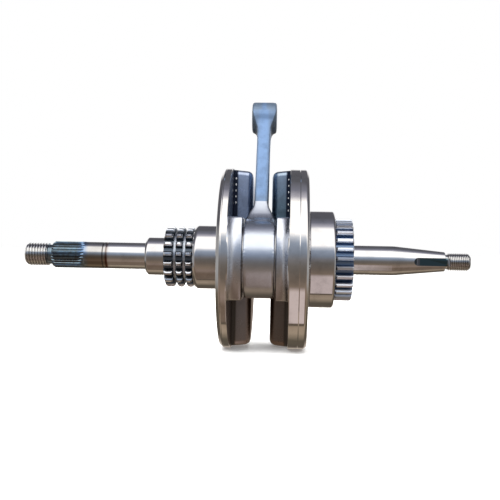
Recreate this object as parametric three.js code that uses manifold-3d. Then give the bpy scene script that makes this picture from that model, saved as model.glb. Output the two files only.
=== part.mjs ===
// Built-up crankshaft of a small four-stroke engine, with connecting rod, roller big end and main bearing.
// Millimetres. +X runs along the crank axis towards the taper, the crankpin points along -Y and +Z is up.
// The origin is on the crank axis, in the middle plane of the connecting rod.
import * as THREE from 'three';
import { mergeVertices } from 'three/addons/utils/BufferGeometryUtils.js';
import Module from 'manifold-3d';

const wasm = await Module();
wasm.setup();

// Fits
const SEAT_GAP = 0.1; // radial gap left at each press fit
const FACE_GAP = 0.1; // gap between faces that bear on each other
const RUN_GAP = 0.3; // gap between a turning piece and its neighbour
const ROUND = 36; // facets round a shaft, ring or web
const BALL_FACETS = [10, 6]; // facets of a ball or its pocket, round and over
const CAGE_ROUND = 24; // facets round the ball cage
const FINE_ROUND = 8; // facets round a rivet or a roller

// Left end: thread, spline, plain shaft with two grooves, and the three seats
const LEFT_END = -167.8;
const LEFT_THREAD = { r: 8, end: -151.3 };
const LEFT_UNDERCUT = { r: 6.9, end: -148.2 };
const SPLINE = { teeth: 26, tip: 9.45, root: 8.55, end: -125 };
const LEFT_SHAFT_R = 9.35;
const GROOVES = [-111.7, -109.1];
const GROOVE = { width: 0.8, depth: 0.5 };
const COLLAR = { r: 13.3, bore: 10.3, start: -81.3, chamfer: 1.6 };
const SPROCKET = { start: -67.2, bore: 12, tip: 21.4, root: 17.3, teeth: 18, hub: 16.9 };
const SPROCKET_ROWS = [[0, 6.7], [8.4, 13.3], [15, 20]];
const SPROCKET_TURN = THREE.MathUtils.degToRad(6);
const LEFT_RING = { start: -47, r: 22.4, bore: 17.5, chamfer: 2.4 };

// Webs and crankpin
const WEB_R = 63;
const LEFT_WEB = { inner: 20.35, outer: 27.3, chamfer: 2.4 };
const RIGHT_WEB = { inner: 19.5, outer: 32.2, chamfer: 1.8 };
const BLOCK = { inner: 6.7, front: 0.5, relief: 2.2, reliefDepth: 1.8, round: 3, tipR: 61.6, footR: 62.8 };
const BOSS = { inner: 11, halfHeight: 27, tip: 57, foot: 59 };
const THROW = 34;
const PIN = { r: 15, bore: 6, sunk: 0.3 };
const PLUG_LENGTH = 6;

// Roller big end
const ROLLER = { r: 1.85, length: 14.6, count: 16, track: 17 };
const ROLLER_CAGE = { inner: 16.1, outer: 17.9, halfLength: 8.6, play: 0.25 };
const WASHER = { inner: 15.4, outer: 22.5, start: 9.95, end: 10.85 };

// Connecting rod, in its own frame: big end at the origin and small end on +Z
const ROD_LENGTH = 112;
const ROD_LEAN = THREE.MathUtils.degToRad(25.3);
const BIG_EYE = { r: 26.3, bore: 19.15, halfWidth: 9.8 };
const SMALL_EYE = { r: 11.2, bore: 8, halfWidth: 8.8, chamfer: 0.8 };
const SHANK = { halfWidth: 4.7, web: 2.4, start: 36, end: 98 };

// Right end: ball bearing, gear, shaft, taper, keyway and thread
const BEARING = { start: 32.5, width: 18, r: 34, bore: 14, edge: 1.1 };
const TRACK = { r: 24, outerLand: 29.1, innerLand: 19.4 };
const BALL = { r: 5.95, count: 8, play: 0.3 };
const BALL_CAGE = { inner: 21.7, outer: 26.3, plate: 0.9, shell: 0.85, gap: 0.05 };
const RIVET = { r: 0.9, head: 1.5, headHeight: 0.6 };
const GEAR = { start: 51.1, end: 63, bore: 12, teeth: 27, module: 2, hub: 18, hubStart: 50.7 };
const GEAR_TURN = THREE.MathUtils.degToRad(2);
const GEAR_KEY = { start: 52, end: 61, width: 4, floor: 10.4, top: 13.4 };
const RIGHT_SHAFT_R = 10.3;
const TAPER = { start: 92.6, end: 128, endR: 6.76 };
const KEYWAY = { start: 105.8, ramp: 4.5, end: 131, width: 5.5, floor: 4.8, drop: -0.3 };
const RIGHT_UNDERCUT = { r: 5, end: 129.6 };
const RIGHT_THREAD = { r: 6, end: 145.3 };
const CENTRE_HOLE = { mouth: 2.6, pilot: 1.1, cone: 2.6, depth: 5.5 };

// ---------- solids ----------

const LATHE_TO_X = new THREE.Matrix4().makeRotationZ(-Math.PI / 2);
const SHAPE_TO_YZ = new THREE.Matrix4().makeBasis(
  new THREE.Vector3(0, 1, 0), new THREE.Vector3(0, 0, 1), new THREE.Vector3(1, 0, 0));

function toManifold(geometry) {
  const bare = geometry.clone();
  bare.deleteAttribute('normal');
  bare.deleteAttribute('uv');
  const merged = mergeVertices(bare, 1e-4);
  return new wasm.Manifold(new wasm.Mesh({
    numProp: 3,
    vertProperties: new Float32Array(merged.attributes.position.array),
    triVerts: new Uint32Array(merged.index.array),
  }));
}

function toGeometry(solid) {
  const mesh = solid.getMesh();
  const geometry = new THREE.BufferGeometry();
  geometry.setAttribute('position', new THREE.BufferAttribute(new Float32Array(mesh.vertProperties), 3));
  geometry.setIndex(new THREE.BufferAttribute(new Uint32Array(mesh.triVerts), 1));
  return geometry;
}

// A body turned about the X axis from [x, radius] points, listed towards +X along its outside.
function turned(profile, facets = ROUND) {
  const points = profile.map(([x, r]) => new THREE.Vector2(r, x));
  return new THREE.LatheGeometry(points, facets).applyMatrix4(LATHE_TO_X);
}

const turnedSolid = (profile, facets) => toManifold(turned(profile, facets));

// A plain ring about the X axis. Its profile closes on itself.
const ringProfile = (x0, x1, inner, outer) =>
  [[x0, inner], [x0, outer], [x1, outer], [x1, inner], [x0, inner]];

const disc = (x0, x1, r, facets) => turnedSolid([[x0, 0], [x0, r], [x1, r], [x1, 0]], facets);

// A flat outline in (Y, Z), run along X from x0 to x1.
function plate(shape, x0, x1, curveSegments = 12) {
  const geometry = new THREE.ExtrudeGeometry(shape, { depth: x1 - x0, bevelEnabled: false, curveSegments });
  return toManifold(geometry.applyMatrix4(SHAPE_TO_YZ)).translate([x0, 0, 0]);
}

function block(low, high) {
  const size = high.map((value, i) => value - low[i]);
  const centre = high.map((value, i) => (value + low[i]) / 2);
  return toManifold(new THREE.BoxGeometry(...size)).translate(centre);
}

function toothedOutline(teeth, tip, root, turn, tipShare, rootShare) {
  const shape = new THREE.Shape();
  const step = 2 * Math.PI / teeth;
  const point = (r, angle) => [r * Math.cos(angle), r * Math.sin(angle)];
  for (let i = 0; i < teeth; i += 1) {
    const middle = Math.PI + turn + i * step;
    const corners = [
      point(root, middle - step * rootShare / 2), point(tip, middle - step * tipShare / 2),
      point(tip, middle + step * tipShare / 2), point(root, middle + step * rootShare / 2)];
    corners.forEach(([y, z], k) => (i + k === 0 ? shape.moveTo(y, z) : shape.lineTo(y, z)));
  }
  return shape;
}

// ---------- materials ----------

const steel = (color, roughness, metalness = 0.9) =>
  new THREE.MeshStandardMaterial({ color, roughness, metalness });

const MATERIALS = {
  groundSteel: () => steel(0xb9bcc0, 0.28),
  forgedSteel: () => steel(0x6f7884, 0.5, 0.8),
  rodSteel: () => steel(0x8f9db3, 0.45, 0.8),
  bearingSteel: () => steel(0xc8cbd0, 0.2),
  gearSteel: () => steel(0x5d6d7c, 0.35),
  sprocketSteel: () => steel(0x55606b, 0.35),
  pressedSteel: () => steel(0xa9abb0, 0.4),
};

const crankshaft = new THREE.Group();

function piece(name, geometry, material, parent = crankshaft) {
  const mesh = new THREE.Mesh(geometry, MATERIALS[material]());
  mesh.name = name;
  parent.add(mesh);
  return mesh;
}

// ---------- crank halves ----------

// Points for one side: the left half lists its +X profile mirrored, so it still runs towards +X.
const sided = (profile, side) => (side > 0 ? profile : profile.map(([x, r]) => [-x, r]).reverse());

function arcPoints(x, r, radius, from, to, steps = 3) {
  return Array.from({ length: steps + 1 }, (_, i) => {
    const angle = from + (to - from) * i / steps;
    return [x + radius * Math.cos(angle), r + radius * Math.sin(angle)];
  });
}

// The inner steps of a web: the counterweight on the far half and the crankpin boss on the near half.
function innerSteps(web, side) {
  const { inner, front, relief, reliefDepth, round, tipR, footR } = BLOCK;
  const overlap = web.inner + 1;
  const weightProfile = [[inner, 0], ...arcPoints(inner + round, tipR - round, round, Math.PI, Math.PI / 2),
    [overlap, footR], [overlap, 0]];
  const reach = WEB_R + 1;
  const weight = turnedSolid(sided(weightProfile, side))
    .intersect(block([-reach, front, -reach], [reach, reach, reach]));
  const bossProfile = [[BOSS.inner, 0], [BOSS.inner, BOSS.tip], [overlap, BOSS.foot], [overlap, 0]];
  const boss = turnedSolid(sided(bossProfile, side))
    .intersect(block([-reach, -reach, -BOSS.halfHeight], [reach, front + 1, BOSS.halfHeight]));
  const reliefSpan = [web.inner - relief, web.inner].map((x) => x * side).sort((a, b) => a - b);
  const reliefs = [1, -1].map((end) => {
    const span = [BOSS.halfHeight, reach].map((z) => z * end).sort((a, b) => a - b);
    return block([reliefSpan[0], front - 1, span[0]], [reliefSpan[1], front + reliefDepth, span[1]]);
  });
  return weight.subtract(reliefs[0]).subtract(reliefs[1]).add(boss);
}

const pinHole = () => disc(-60, 60, PIN.r + SEAT_GAP).translate([0, -THROW, 0]);

function centreHole(face, inwards) {
  const { mouth, pilot, cone, depth } = CENTRE_HOLE;
  const profile = [[face, mouth], [face + inwards * cone, pilot], [face + inwards * depth, pilot],
    [face + inwards * depth, 0]];
  return inwards > 0 ? profile.reverse() : profile;
}

function leftHalf() {
  const { chamfer } = LEFT_WEB;
  const grooves = GROOVES.flatMap((x) => [[x - GROOVE.width / 2, LEFT_SHAFT_R],
    [x - GROOVE.width / 2, LEFT_SHAFT_R - GROOVE.depth], [x + GROOVE.width / 2, LEFT_SHAFT_R - GROOVE.depth],
    [x + GROOVE.width / 2, LEFT_SHAFT_R]]);
  const profile = [
    ...centreHole(LEFT_END, 1), [LEFT_END, LEFT_THREAD.r - 1.6], [LEFT_END + 1.6, LEFT_THREAD.r],
    [LEFT_THREAD.end, LEFT_THREAD.r], [LEFT_THREAD.end + 0.8, LEFT_UNDERCUT.r],
    [SPLINE.end, LEFT_UNDERCUT.r], [SPLINE.end, LEFT_SHAFT_R], ...grooves, [COLLAR.start, LEFT_SHAFT_R],
    [COLLAR.start, COLLAR.bore], [SPROCKET.start, COLLAR.bore], [SPROCKET.start, SPROCKET.bore],
    [LEFT_RING.start, SPROCKET.bore], [LEFT_RING.start, LEFT_RING.bore], [-LEFT_WEB.outer, LEFT_RING.bore],
    [-LEFT_WEB.outer, WEB_R - chamfer], [-LEFT_WEB.outer + chamfer, WEB_R], [-LEFT_WEB.inner, WEB_R],
    [-LEFT_WEB.inner, 0]];
  const spline = plate(toothedOutline(SPLINE.teeth, SPLINE.tip, SPLINE.root, 0, 0.34, 0.66),
    LEFT_UNDERCUT.end, SPLINE.end + 0.5);
  return turnedSolid(profile).add(spline).add(innerSteps(LEFT_WEB, -1)).subtract(pinHole());
}

// The keyway's floor is parallel to the axis and ramps up to the taper at its inner end.
function keyway() {
  const { start, ramp, end, width, floor, drop } = KEYWAY;
  const sidePoints = [[start, -10], [start, -8.6], [start + ramp, -floor], [end, -floor], [end, -10]];
  const side = new THREE.Shape(sidePoints.map(([x, y]) => new THREE.Vector2(x, y)));
  const plan = new THREE.Shape();
  plan.moveTo(end, width / 2);
  plan.absarc(start + width / 2, 0, width / 2, Math.PI / 2, 3 * Math.PI / 2);
  plan.lineTo(end, -width / 2);
  const sideGeometry = new THREE.ExtrudeGeometry(side, { depth: width * 2, bevelEnabled: false });
  const sideSolid = toManifold(sideGeometry).translate([0, 0, -width]);
  const planOptions = { depth: 10, bevelEnabled: false, curveSegments: 4 };
  const planGeometry = new THREE.ExtrudeGeometry(plan, planOptions);
  const planSolid = toManifold(planGeometry.rotateX(Math.PI / 2));
  return sideSolid.intersect(planSolid).translate([0, 0, drop]);
}

function gearKeySeat(grow) {
  const { start, end, width, floor, top } = GEAR_KEY;
  return block([start - grow, floor - grow, -width / 2 - grow], [end + grow, top + grow, width / 2 + grow]);
}

function rightHalf() {
  const { chamfer } = RIGHT_WEB;
  const profile = [
    [RIGHT_WEB.inner, 0], [RIGHT_WEB.inner, WEB_R], [RIGHT_WEB.outer - chamfer, WEB_R],
    [RIGHT_WEB.outer, WEB_R - chamfer], [RIGHT_WEB.outer, BEARING.bore], [GEAR.hubStart, BEARING.bore],
    [GEAR.hubStart, GEAR.bore], [GEAR.end - 0.3, GEAR.bore], [GEAR.end, RIGHT_SHAFT_R],
    [TAPER.start, RIGHT_SHAFT_R], [TAPER.end, TAPER.endR], [TAPER.end, RIGHT_UNDERCUT.r],
    [RIGHT_UNDERCUT.end, RIGHT_UNDERCUT.r], [RIGHT_UNDERCUT.end + 0.7, RIGHT_THREAD.r],
    [RIGHT_THREAD.end - 1.2, RIGHT_THREAD.r], [RIGHT_THREAD.end, RIGHT_THREAD.r - 1.2],
    ...centreHole(RIGHT_THREAD.end, -1)];
  return turnedSolid(profile).add(innerSteps(RIGHT_WEB, 1)).subtract(pinHole()).subtract(keyway())
    .subtract(gearKeySeat(FACE_GAP));
}

piece('left_crank_half', toGeometry(leftHalf()), 'forgedSteel');
piece('right_crank_half', toGeometry(rightHalf()), 'forgedSteel');

// ---------- crankpin ----------

const atPin = new THREE.Group();
atPin.position.y = -THROW;
crankshaft.add(atPin);

const pinLeft = -LEFT_WEB.outer + PIN.sunk;
const pinRight = RIGHT_WEB.outer - PIN.sunk;
piece('crank_pin', turned(ringProfile(pinLeft, pinRight, PIN.bore, PIN.r)), 'bearingSteel', atPin);

function plug(name, x0, x1) {
  const r = PIN.bore - SEAT_GAP;
  piece(name, turned([[x0, 0], [x0, r], [x1, r], [x1, 0]]), 'pressedSteel', atPin);
}

plug('crank_pin_plug_left', pinLeft + PIN.sunk, pinLeft + PLUG_LENGTH);
plug('crank_pin_plug_right', pinRight - PLUG_LENGTH, pinRight - PIN.sunk);

// ---------- roller big end ----------

function rollerCage() {
  const { inner, outer, halfLength, play } = ROLLER_CAGE;
  const reach = ROLLER.length / 2 + play;
  const halfWidth = ROLLER.r + play;
  const pocket = block([-reach, 0, -halfWidth], [reach, outer + 2, halfWidth]);
  let cage = turnedSolid(ringProfile(-halfLength, halfLength, inner, outer));
  for (let i = 0; i < ROLLER.count; i += 1) {
    cage = cage.subtract(pocket.rotate([i * 360 / ROLLER.count, 0, 0]));
  }
  return cage;
}

piece('big_end_cage', toGeometry(rollerCage()), 'pressedSteel', atPin);
for (let i = 0; i < ROLLER.count; i += 1) {
  const angle = i * 2 * Math.PI / ROLLER.count;
  const { r, length } = ROLLER;
  const roller = new THREE.CylinderGeometry(r, r, length, FINE_ROUND).rotateZ(Math.PI / 2);
  const mesh = piece(`big_end_roller_${String(i + 1).padStart(2, '0')}`, roller, 'bearingSteel', atPin);
  mesh.position.set(0, ROLLER.track * Math.cos(angle), ROLLER.track * Math.sin(angle));
}

piece('thrust_washer_left', turned(ringProfile(-WASHER.end, -WASHER.start, WASHER.inner, WASHER.outer)),
  'pressedSteel', atPin);
piece('thrust_washer_right', turned(ringProfile(WASHER.start, WASHER.end, WASHER.inner, WASHER.outer)),
  'pressedSteel', atPin);

// ---------- connecting rod ----------

// Seen along the crank axis: two eyes joined by a tapered shank that flares into both.
function rodSideOutline() {
  const shape = new THREE.Shape();
  const big = THREE.MathUtils.degToRad(56);
  const small = THREE.MathUtils.degToRad(-28);
  shape.moveTo(BIG_EYE.r * Math.cos(big), BIG_EYE.r * Math.sin(big));
  shape.bezierCurveTo(11.5, 26, 10.6, 32, 10.2, 42);
  shape.lineTo(8.3, 90);
  const neckZ = ROD_LENGTH + SMALL_EYE.r * Math.sin(small);
  shape.bezierCurveTo(8.1, 97, 8.4, 101, SMALL_EYE.r * Math.cos(small), neckZ);
  shape.absarc(0, ROD_LENGTH, SMALL_EYE.r, small, Math.PI - small);
  shape.bezierCurveTo(-8.4, 101, -8.1, 97, -8.3, 90);
  shape.lineTo(-10.2, 42);
  shape.bezierCurveTo(-10.6, 32, -11.5, 26, BIG_EYE.r * Math.cos(Math.PI - big), BIG_EYE.r * Math.sin(big));
  shape.absarc(0, 0, BIG_EYE.r, Math.PI - big, 2 * Math.PI + big);
  return shape;
}

// Seen along Y: wide at the big eye, with sloping shoulders down to a narrow shank that flares at the top.
function rodFrontOutline() {
  const right = [[BIG_EYE.halfWidth, -BIG_EYE.r - 1], [BIG_EYE.halfWidth, 22], [7.6, 28.5], [5.3, 34],
    [SHANK.halfWidth, SHANK.start], [SHANK.halfWidth, SHANK.end], [6.2, 104], [7.8, 110],
    [7.8, ROD_LENGTH + SMALL_EYE.r + 1]];
  const left = right.map(([x, z]) => [-x, z]).reverse();
  return new THREE.Shape([...right, ...left].map(([x, z]) => new THREE.Vector2(x, z)));
}

function shankPocket() {
  const shape = new THREE.Shape();
  shape.moveTo(-7, 44);
  shape.bezierCurveTo(-7, 37, 7, 37, 7, 44);
  shape.lineTo(5.6, 90);
  shape.bezierCurveTo(5.6, 96, -5.6, 96, -5.6, 90);
  return plate(shape, SHANK.web, SHANK.halfWidth + 1, 6);
}

function connectingRod() {
  const depth = 2 * BIG_EYE.r + 2;
  const front = toManifold(new THREE.ExtrudeGeometry(rodFrontOutline(), { depth, bevelEnabled: false })
    .translate(0, 0, -depth / 2).rotateX(Math.PI / 2));
  const side = plate(rodSideOutline(), -12, 12, 16);
  const { r, chamfer, halfWidth } = SMALL_EYE;
  const smallEye = turnedSolid([[-halfWidth, 0], [-halfWidth, r - chamfer], [chamfer - halfWidth, r],
    [halfWidth - chamfer, r], [halfWidth, r - chamfer], [halfWidth, 0]], 32).translate([0, 0, ROD_LENGTH]);
  const smallBore = disc(-12, 12, SMALL_EYE.bore, 32).translate([0, 0, ROD_LENGTH]);
  const pocket = shankPocket();
  return side.intersect(front).add(smallEye).subtract(disc(-12, 12, BIG_EYE.bore)).subtract(smallBore)
    .subtract(pocket).subtract(pocket.mirror([1, 0, 0]));
}

const rod = piece('connecting_rod', toGeometry(connectingRod()), 'rodSteel', atPin);
rod.rotation.x = -ROD_LEAN;

// ---------- pieces pressed on the left shaft ----------

function collar() {
  const { r, bore, start, chamfer } = COLLAR;
  const hole = bore + SEAT_GAP;
  const end = SPROCKET.start - FACE_GAP;
  return turned([[start, hole], [start, r - chamfer], [start + chamfer, r], [end, r], [end, hole],
    [start, hole]]);
}

function timingSprocket() {
  const { start, bore, tip, root, teeth, hub } = SPROCKET;
  const width = LEFT_RING.start - FACE_GAP - start;
  const hole = bore + SEAT_GAP;
  let body = disc(0, width, hub);
  for (const [x0, x1] of SPROCKET_ROWS) {
    body = body.add(plate(toothedOutline(teeth, tip, root, SPROCKET_TURN, 0.3, 0.8), x0, x1));
  }
  return body.subtract(disc(-1, width + 1, hole)).translate([start, 0, 0]);
}

function leftRing() {
  const { start, r, bore, chamfer } = LEFT_RING;
  const hole = bore + SEAT_GAP;
  const end = -LEFT_WEB.outer - FACE_GAP;
  return turned([[start, hole], [start, r - chamfer * 0.8], [start + chamfer, r], [end, r], [end, hole],
    [start, hole]]);
}

piece('oil_seal_collar', collar(), 'bearingSteel');
piece('timing_sprocket', toGeometry(timingSprocket()), 'sprocketSteel');
piece('left_bearing_inner_ring', leftRing(), 'bearingSteel');

// ---------- main ball bearing ----------

const bearingMiddle = BEARING.start + BEARING.width / 2;
const grooveR = BALL.r + BALL.play;

// Points of a ball track cut into a land, from one edge of the track to the other.
function trackPoints(land, outside) {
  const lift = Math.acos((Math.abs(land - TRACK.r)) / grooveR);
  const towards = outside ? Math.PI / 2 : -Math.PI / 2;
  const steps = 4;
  return Array.from({ length: steps + 1 }, (_, i) => {
    const angle = towards + lift - 2 * lift * i / steps;
    return [bearingMiddle + grooveR * Math.cos(angle), TRACK.r + grooveR * Math.sin(angle)];
  });
}

function outerRing() {
  const { start, width, r, edge } = BEARING;
  const { outerLand } = TRACK;
  const end = start + width;
  const track = trackPoints(outerLand, true).reverse();
  return turned([[start, outerLand], [start, r - edge], [start + edge, r], [end - edge, r], [end, r - edge],
    [end, outerLand], ...track, [start, outerLand]]);
}

function innerRing() {
  const { start, width, bore, edge } = BEARING;
  const { innerLand } = TRACK;
  const end = start + width;
  const hole = bore + SEAT_GAP;
  const track = trackPoints(innerLand, false).reverse();
  return turned([[start, hole], [start, innerLand - edge / 2], [start + edge / 2, innerLand], ...track,
    [end - edge / 2, innerLand], [end, innerLand - edge / 2], [end, hole], [start, hole]]);
}

piece('main_bearing_outer_ring', outerRing(), 'bearingSteel');
piece('main_bearing_inner_ring', innerRing(), 'bearingSteel');

function ballSphere(r, i) {
  const angle = i * 2 * Math.PI / BALL.count;
  return toManifold(new THREE.SphereGeometry(r, ...BALL_FACETS))
    .translate([0, TRACK.r * Math.cos(angle), TRACK.r * Math.sin(angle)]);
}

const betweenBalls = (i) => (i + 0.5) * 2 * Math.PI / BALL.count;

// One pressed half of the cage: a flat ring that bulges round each ball, with a hole for each rivet.
function cageHalf(side) {
  const { inner, outer, plate: thickness, shell, gap } = BALL_CAGE;
  const near = Math.min(gap * side, 12 * side);
  const far = Math.max(gap * side, 12 * side);
  const tube = turnedSolid(ringProfile(near, far, inner, outer), CAGE_ROUND);
  const flat = [gap * side, (gap + thickness) * side].sort((a, b) => a - b);
  let half = turnedSolid(ringProfile(flat[0], flat[1], inner, outer), CAGE_ROUND);
  const pocketR = BALL.r + 0.3;
  for (let i = 0; i < BALL.count; i += 1) {
    half = half.add(ballSphere(pocketR + shell, i).intersect(tube));
  }
  for (let i = 0; i < BALL.count; i += 1) {
    half = half.subtract(ballSphere(pocketR, i));
    const y = TRACK.r * Math.cos(betweenBalls(i));
    const z = TRACK.r * Math.sin(betweenBalls(i));
    half = half.subtract(disc(-3, 3, RIVET.r + SEAT_GAP, FINE_ROUND).translate([0, y, z]));
  }
  return half.translate([bearingMiddle, 0, 0]);
}

piece('main_bearing_cage_left', toGeometry(cageHalf(-1)), 'pressedSteel');
piece('main_bearing_cage_right', toGeometry(cageHalf(1)), 'pressedSteel');

function cageRivet() {
  const { r, head, headHeight } = RIVET;
  const seat = BALL_CAGE.gap * 2 + BALL_CAGE.plate;
  const side = [[seat, r], [seat, head], [seat + headHeight, head * 0.6], [seat + headHeight, 0]];
  return turned([...sided(side, -1), ...side], FINE_ROUND);
}

for (let i = 0; i < BALL.count; i += 1) {
  const angle = i * 2 * Math.PI / BALL.count;
  const sphere = new THREE.SphereGeometry(BALL.r, ...BALL_FACETS);
  const ball = piece(`main_bearing_ball_${i + 1}`, sphere, 'bearingSteel');
  ball.position.set(bearingMiddle, TRACK.r * Math.cos(angle), TRACK.r * Math.sin(angle));
  const rivet = piece(`main_bearing_cage_rivet_${i + 1}`, cageRivet(), 'pressedSteel');
  rivet.position.set(bearingMiddle, TRACK.r * Math.cos(betweenBalls(i)),
    TRACK.r * Math.sin(betweenBalls(i)));
}

// ---------- drive gear and its key ----------

function driveGear() {
  const { start, end, bore, teeth, module, hub, hubStart } = GEAR;
  const pitch = teeth * module / 2;
  const outline = toothedOutline(teeth, pitch + 0.9 * module, pitch - 1.25 * module, GEAR_TURN, 0.3, 0.78);
  const keySlot = block([hubStart - 1, 0, -GEAR_KEY.width / 2 - FACE_GAP],
    [end + 1, GEAR_KEY.top + FACE_GAP, GEAR_KEY.width / 2 + FACE_GAP]);
  return plate(outline, start, end).add(disc(hubStart, end, hub))
    .subtract(disc(hubStart - 1, end + 1, bore + SEAT_GAP)).subtract(keySlot);
}

piece('balancer_drive_gear', toGeometry(driveGear()), 'gearSteel');
piece('balancer_gear_key', toGeometry(gearKeySeat(0)), 'pressedSteel');

export default crankshaft;
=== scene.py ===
import math
import bmesh
import bpy
import numpy as np
from mathutils import Matrix, Vector


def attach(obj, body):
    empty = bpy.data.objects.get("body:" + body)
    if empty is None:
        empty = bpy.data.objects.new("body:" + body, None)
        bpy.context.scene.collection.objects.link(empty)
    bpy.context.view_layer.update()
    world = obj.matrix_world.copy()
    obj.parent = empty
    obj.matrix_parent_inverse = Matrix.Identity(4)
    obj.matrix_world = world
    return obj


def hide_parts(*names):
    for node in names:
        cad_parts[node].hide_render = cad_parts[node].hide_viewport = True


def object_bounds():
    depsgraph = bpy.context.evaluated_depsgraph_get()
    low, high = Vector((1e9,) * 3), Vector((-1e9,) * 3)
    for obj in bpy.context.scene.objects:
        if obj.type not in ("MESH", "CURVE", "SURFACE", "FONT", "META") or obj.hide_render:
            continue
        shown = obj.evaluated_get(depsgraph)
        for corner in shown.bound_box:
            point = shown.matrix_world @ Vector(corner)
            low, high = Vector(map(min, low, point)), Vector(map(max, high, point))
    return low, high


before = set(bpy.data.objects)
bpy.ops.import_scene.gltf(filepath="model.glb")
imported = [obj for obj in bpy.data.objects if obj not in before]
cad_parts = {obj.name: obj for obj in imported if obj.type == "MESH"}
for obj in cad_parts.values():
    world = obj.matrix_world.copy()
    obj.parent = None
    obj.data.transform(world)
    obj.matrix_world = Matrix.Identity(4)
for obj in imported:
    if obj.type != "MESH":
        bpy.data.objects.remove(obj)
cad_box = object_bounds()

# ---------------------------------------------------------------------------
# The camera stands level with the crank axis, a little towards the tapered end, with the axis running
# slightly downhill to the right. It looks at a point just above the shaft, left of the rod.
MM = 0.001
VIEW_DISTANCE = 560 * MM
VIEW_AZIMUTH = math.radians(2.7)
VIEW_ROLL = math.radians(1.09)
VIEW_AIM = Vector((-8.2, 0, 5.66)) * MM

camera = bpy.data.objects.new("camera", bpy.data.cameras.new("camera"))
bpy.context.collection.objects.link(camera)
camera.data.sensor_width = 36
camera.data.lens = 57.0
camera.data.clip_start = 0.01
level_right = Vector((math.cos(VIEW_AZIMUTH), math.sin(VIEW_AZIMUTH), 0))
view_back = Vector((math.sin(VIEW_AZIMUTH), -math.cos(VIEW_AZIMUTH), 0))
view_right = level_right * math.cos(VIEW_ROLL) + Vector((0, 0, 1)) * math.sin(VIEW_ROLL)
view_up = view_back.cross(view_right)
turn = Matrix((view_right, view_up, view_back)).transposed()
camera.matrix_world = Matrix.Translation(VIEW_AIM + view_back * VIEW_DISTANCE) @ turn.to_4x4()
bpy.context.scene.camera = camera
bpy.context.scene.view_settings.view_transform = "Standard"

# ---------------------------------------------------------------------------
# The studio: a pale floor, white all round for the eye, and for the bright metal to mirror, a wide white
# lamp high in front, a dark ceiling and a warm bench below. Angles run from the front, upwards.
SKY_SCALE = 2.0
SKY = [
    (-180, (0.34, 0.29, 0.25)), (-165, (0.62, 0.54, 0.46)), (-150, (0.12, 0.10, 0.08)),
    (-125, (0.14, 0.12, 0.09)), (-105, (0.46, 0.37, 0.28)), (-93, (0.42, 0.33, 0.25)),
    (-90, (0.11, 0.09, 0.07)), (-86, (0.24, 0.18, 0.14)), (-62, (0.22, 0.16, 0.12)),
    (-50, (0.34, 0.26, 0.22)), (-38, (0.30, 0.23, 0.18)),
    (-22, (0.20, 0.165, 0.14)), (-8, (0.19, 0.175, 0.165)), (0, (0.24, 0.24, 0.26)),
    (8, (0.28, 0.33, 0.42)), (20, (0.42, 0.50, 0.64)), (27, (0.86, 0.93, 1.05)), (33, (1.75, 1.75, 1.75)),
    (76, (1.75, 1.75, 1.75)), (84, (0.66, 0.66, 0.76)), (96, (0.25, 0.26, 0.33)),
    (115, (0.14, 0.145, 0.17)), (152, (0.13, 0.13, 0.15)), (160, (1.1, 1.1, 1.12)), (172, (1.1, 1.1, 1.12)),
    (180, (0.34, 0.29, 0.25)),
]
BENCH_GLOW = (0.74, 0.63, 0.62)
END_GREY = (0.45, 0.46, 0.48)


class Value:
    """A number, colour or vector in a node tree. Arithmetic on numbers adds Math nodes."""

    def __init__(self, tree, socket):
        self.tree = tree
        self.socket = socket

    def node(self, kind, settings=None, inputs=None):
        made = self.tree.nodes.new(kind)
        for name, value in (settings or {}).items():
            setattr(made, name, value)
        for key, value in (inputs or {}).items():
            if isinstance(value, Value):
                self.tree.links.new(value.socket, made.inputs[key])
            else:
                made.inputs[key].default_value = value
        return Value(self.tree, made.outputs[0])

    def math(self, operation, *others):
        return self.node("ShaderNodeMath", {"operation": operation}, dict(enumerate((self, *others))))

    def __add__(self, other):
        return self.math("ADD", other)

    def __sub__(self, other):
        return self.math("SUBTRACT", other)

    def __mul__(self, other):
        return self.math("MULTIPLY", other)

    def __truediv__(self, other):
        return self.math("DIVIDE", other)

    def __neg__(self):
        return self.math("MULTIPLY", -1.0)

    def __rsub__(self, other):
        return (-self).math("ADD", other)

    __radd__ = __add__
    __rmul__ = __mul__

    def rise(self, low, high):
        """0 below low, 1 above high, smooth between; low may be the larger."""
        settings = {"interpolation_type": "SMOOTHSTEP"}
        return self.node("ShaderNodeMapRange", settings, {"Value": self, "From Min": low, "From Max": high})

    def clamped(self):
        return self.math("MINIMUM", 1.0)

    def mix(self, one, other):
        """Colour one where this is 0, the other where it is 1."""
        made = self.tree.nodes.new("ShaderNodeMix")
        made.data_type = "RGBA"
        for key, value in ((0, self), (6, one), (7, other)):
            if isinstance(value, Value):
                self.tree.links.new(value.socket, made.inputs[key])
            else:
                made.inputs[key].default_value = (*value, 1.0)
        return Value(self.tree, made.outputs[2])


world = bpy.data.worlds.new("studio")
bpy.context.scene.world = world
world.use_nodes = True
tree = world.node_tree
background = tree.nodes["Background"]
ray = Value(tree, tree.nodes.new("ShaderNodeTexCoord").outputs["Generated"])
split = ray.node("ShaderNodeSeparateXYZ", None, {0: ray})
ray_x, ray_y, ray_z = (Value(tree, split.socket.node.outputs[k]) for k in range(3))
height = ray_z.math("ARCTAN2", -ray_y)
share = height / (2 * math.pi) + 0.5
ramp = share.node("ShaderNodeValToRGB", None, {0: share})
elements = ramp.socket.node.color_ramp.elements
while len(elements) < len(SKY):
    elements.new(0.5)
for element, (degrees, colour) in zip(elements, SKY):
    element.position = (degrees + 180) / 360
    element.color = (*(c / SKY_SCALE for c in colour), 1)
degrees_up = height * (180 / math.pi)
glow = degrees_up.rise(-33, -42) * degrees_up.rise(-88, -86) * ray_x.rise(-0.04, 0.0) * ray_x.rise(0.15, 0.07)
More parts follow.
